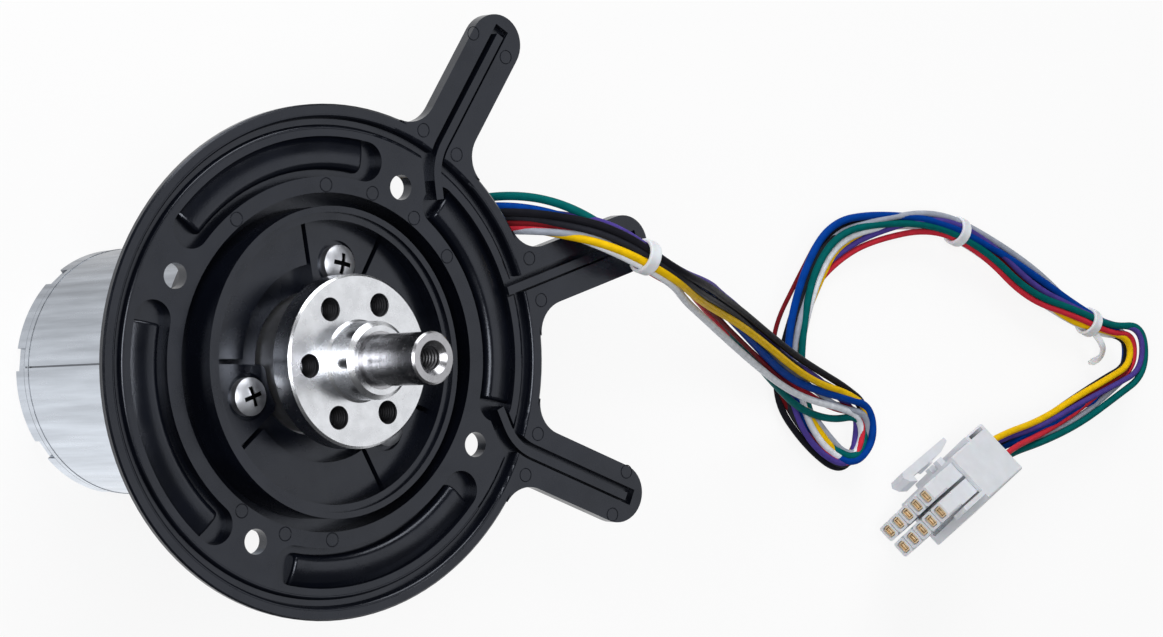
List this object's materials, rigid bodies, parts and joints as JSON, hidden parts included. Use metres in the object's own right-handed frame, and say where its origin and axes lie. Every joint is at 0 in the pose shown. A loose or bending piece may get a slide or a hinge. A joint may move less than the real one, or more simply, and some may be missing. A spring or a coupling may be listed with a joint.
{
  "type": "wheel motor",
  "caption": "Geared electric wheel motor: cylindrical can, dished moulded flange with radial arms, bolt-on output hub with stub shaft, and a tied wire harness ending in a latching plug.",
  "frame": {"origin": "centre of the can's rear face, which the motor stands on", "axes": "+Z along the wheel axis out of the hub, +X along the middle arm of the flange, +Y completes the right hand"},
  "size_m": [0.3789, 0.185, 0.1117],
  "materials": {
    "black_plastic": "semi-gloss moulded black",
    "plated_steel": "brushed zinc plate",
    "cast_alloy": "as machined",
    "zinc_screw": "bright zinc",
    "laminations": "stacked sheet steel",
    "copper_wire": "enamelled copper",
    "board": "solder mask",
    "gear_steel": "ground steel",
    "bearing_steel": "polished",
    "shaft_steel": "turned steel",
    "hub_aluminium": "satin turned",
    "magnet": "sintered",
    "black_rubber": "matt",
    "wire_jacket": "smooth insulation in several colours",
    "tie_nylon": "natural nylon",
    "plug_nylon": "milky nylon",
    "terminal_brass": "tinned brass"
  },
  "bodies": {
    "frame": {"flange_plate": "black_plastic", "motor_can": "plated_steel", "rear_end_cap": "plated_steel", "front_end_bell": "cast_alloy", "mounting_screws": "zinc_screw", "stator_core": "laminations", "stator_windings": "copper_wire", "hall_sensor_board": "board", "gearbox_wall": "cast_alloy", "ring_gear": "gear_steel", "rear_bearing_outer": "bearing_steel", "middle_bearing_outer": "bearing_steel", "lower_output_bearing_outer": "bearing_steel", "upper_output_bearing_outer": "bearing_steel", "wire_grommet": "black_rubber", "harness": "wire_jacket", "cable_tie_1": "tie_nylon", "cable_tie_2": "tie_nylon", "cable_tie_3": "tie_nylon", "plug_housing": "plug_nylon", "plug_terminals": "terminal_brass"},
    "output": {"output_shaft": "shaft_steel", "second_planet_pins": "gear_steel", "retaining_ring": "shaft_steel", "hub": "hub_aluminium", "lower_output_bearing_inner": "bearing_steel", "upper_output_bearing_inner": "bearing_steel"},
    "rotor": {"rotor_shaft": "shaft_steel", "rotor_core": "laminations", "rotor_magnets": "magnet", "first_sun_gear": "gear_steel", "rear_bearing_inner": "bearing_steel", "middle_bearing_inner": "bearing_steel"},
    "carrier": {"first_carrier": "gear_steel", "first_planet_pins": "gear_steel", "second_sun_gear": "gear_steel"},
    "latch": {"plug_latch": "plug_nylon"},
    "first_planet_a_body": {"first_planet_a": "gear_steel"},
    "second_planet_a_body": {"second_planet_a": "gear_steel"},
    "first_planet_b_body": {"first_planet_b": "gear_steel"},
    "second_planet_b_body": {"second_planet_b": "gear_steel"},
    "first_planet_c_body": {"first_planet_c": "gear_steel"},
    "second_planet_c_body": {"second_planet_c": "gear_steel"}
  },
  "joints": [
    {"name": "output_spin", "type": "hinge", "parent": "frame", "child": "output", "pos_m": [0, 0, 0.0872], "axis": [0, 0, 1], "continuous": true},
    {"name": "carrier_spin", "type": "hinge", "parent": "frame", "child": "carrier", "pos_m": [0, 0, 0.0539], "axis": [0, 0, 1], "continuous": true},
    {"name": "rotor_spin", "type": "hinge", "parent": "frame", "child": "rotor", "pos_m": [0, 0, 0.021], "axis": [0, 0, 1], "continuous": true},
    {"name": "first_planet_a_spin", "type": "hinge", "parent": "carrier", "child": "first_planet_a_body", "pos_m": [0.015, 0, 0.0495], "axis": [0, 0, 1], "continuous": true},
    {"name": "second_planet_a_spin", "type": "hinge", "parent": "output", "child": "second_planet_a_body", "pos_m": [0.015, 0, 0.0583], "axis": [0, 0, 1], "continuous": true},
    {"name": "first_planet_b_spin", "type": "hinge", "parent": "carrier", "child": "first_planet_b_body", "pos_m": [-0.0075, 0.01299, 0.0495], "axis": [0, 0, 1], "continuous": true},
    {"name": "second_planet_b_spin", "type": "hinge", "parent": "output", "child": "second_planet_b_body", "pos_m": [-0.0075, 0.01299, 0.0583], "axis": [0, 0, 1], "continuous": true},
    {"name": "first_planet_c_spin", "type": "hinge", "parent": "carrier", "child": "first_planet_c_body", "pos_m": [-0.0075, -0.01299, 0.0495], "axis": [0, 0, 1], "continuous": true},
    {"name": "second_planet_c_spin", "type": "hinge", "parent": "output", "child": "second_planet_c_body", "pos_m": [-0.0075, -0.01299, 0.0583], "axis": [0, 0, 1], "continuous": true},
    {"name": "latch_press", "type": "hinge", "parent": "frame", "child": "latch", "pos_m": [0.22741, -0.10614, 0.01157], "axis": [-0.1313, -0.5231, -0.8421], "range_deg": [0, 6], "stiffness_Nm_per_rad": 0.06}
  ],
  "couplings": [
    {"joint": "carrier_spin", "follows": "output_spin", "ratio": 4},
    {"joint": "rotor_spin", "follows": "output_spin", "ratio": 16},
    {"joint": "first_planet_a_spin", "follows": "output_spin", "ratio": -12},
    {"joint": "second_planet_a_spin", "follows": "output_spin", "ratio": -3},
    {"joint": "first_planet_b_spin", "follows": "output_spin", "ratio": -12},
    {"joint": "second_planet_b_spin", "follows": "output_spin", "ratio": -3},
    {"joint": "first_planet_c_spin", "follows": "output_spin", "ratio": -12},
    {"joint": "second_planet_c_spin", "follows": "output_spin", "ratio": -3}
  ]
}
